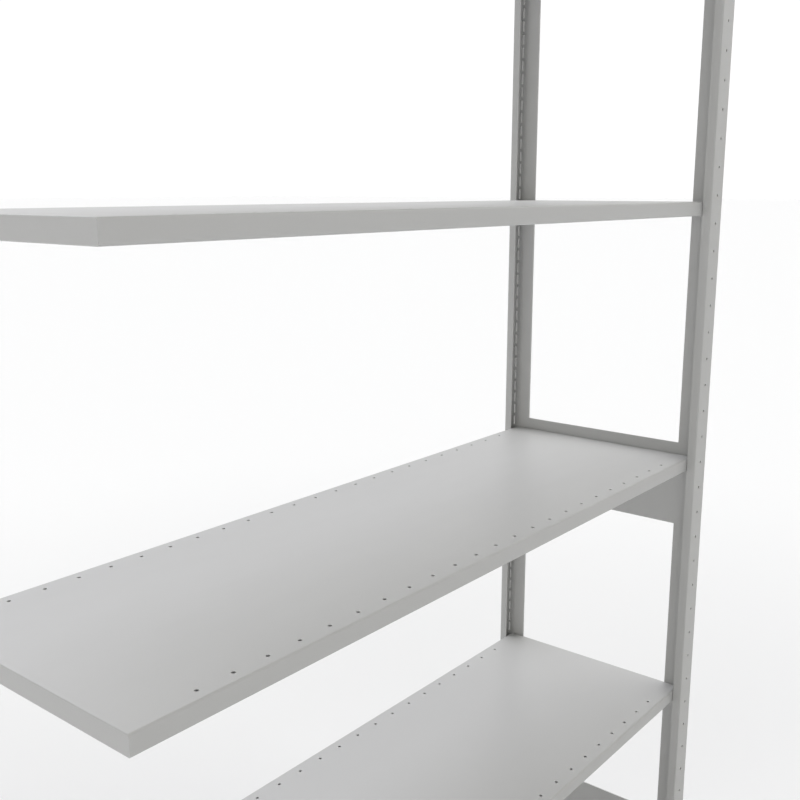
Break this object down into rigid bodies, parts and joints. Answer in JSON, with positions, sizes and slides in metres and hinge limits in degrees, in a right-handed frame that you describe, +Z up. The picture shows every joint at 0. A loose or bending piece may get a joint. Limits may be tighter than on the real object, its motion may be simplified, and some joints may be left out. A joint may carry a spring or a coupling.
{
  "type": "gondola shelving unit",
  "caption": "Open steel shelving bay: folded trays with rows of divider holes, hung by their right ends on a slotted, perforated ladder end frame.",
  "frame": {"origin": "on the floor, in the web plane of the neighbouring end frame that carries the left ends of the shelves, midway front to rear", "axes": "+X along the shelves towards this bay's own end frame, +Y from the front to the rear, +Z up"},
  "size_m": [1.3225, 0.425, 2.003],
  "materials": {
    "frame_paint": "light grey powder coat, satin",
    "shelf_paint": "light grey powder coat, satin",
    "clip_paint": "light grey powder coat, satin",
    "fastener_zinc": "bright zinc plating",
    "cap_plastic": "moulded grey plastic, matt"
  },
  "bodies": {
    "end_frame": {"front_upright_channel": "frame_paint", "front_upright_web": "frame_paint", "rear_upright_channel": "frame_paint", "rear_upright_web": "frame_paint", "bottom_brace": "frame_paint", "middle_brace": "frame_paint", "top_brace": "frame_paint", "brace_welds": "frame_paint", "front_base_plate": "frame_paint", "rear_base_plate": "frame_paint", "base_bolts": "fastener_zinc", "base_washers": "fastener_zinc", "base_nuts": "fastener_zinc", "front_top_cap": "cap_plastic", "rear_top_cap": "cap_plastic", "shelf_1_clips": "clip_paint", "shelf_2_clips": "clip_paint", "shelf_3_clips": "clip_paint", "shelf_4_clips": "clip_paint", "shelf_5_clips": "clip_paint"},
    "shelf_1": {"shelf_1_tray": "shelf_paint", "shelf_1_stiffener": "shelf_paint"},
    "shelf_2": {"shelf_2_tray": "shelf_paint", "shelf_2_stiffener": "shelf_paint"},
    "shelf_3": {"shelf_3_tray": "shelf_paint", "shelf_3_stiffener": "shelf_paint"},
    "shelf_4": {"shelf_4_tray": "shelf_paint", "shelf_4_stiffener": "shelf_paint"},
    "shelf_5": {"shelf_5_tray": "shelf_paint", "shelf_5_stiffener": "shelf_paint"}
  },
  "joints": [
    {"name": "shelf_1_lift", "type": "slide", "parent": "end_frame", "child": "shelf_1", "axis": [0, 0, 1], "range_m": [0, 0.05]},
    {"name": "shelf_2_lift", "type": "slide", "parent": "end_frame", "child": "shelf_2", "axis": [0, 0, 1], "range_m": [0, 0.05]},
    {"name": "shelf_3_lift", "type": "slide", "parent": "end_frame", "child": "shelf_3", "axis": [0, 0, 1], "range_m": [0, 0.05]},
    {"name": "shelf_4_lift", "type": "slide", "parent": "end_frame", "child": "shelf_4", "axis": [0, 0, 1], "range_m": [0, 0.05]},
    {"name": "shelf_5_lift", "type": "slide", "parent": "end_frame", "child": "shelf_5", "axis": [0, 0, 1], "range_m": [0, 0.05]}
  ]
}
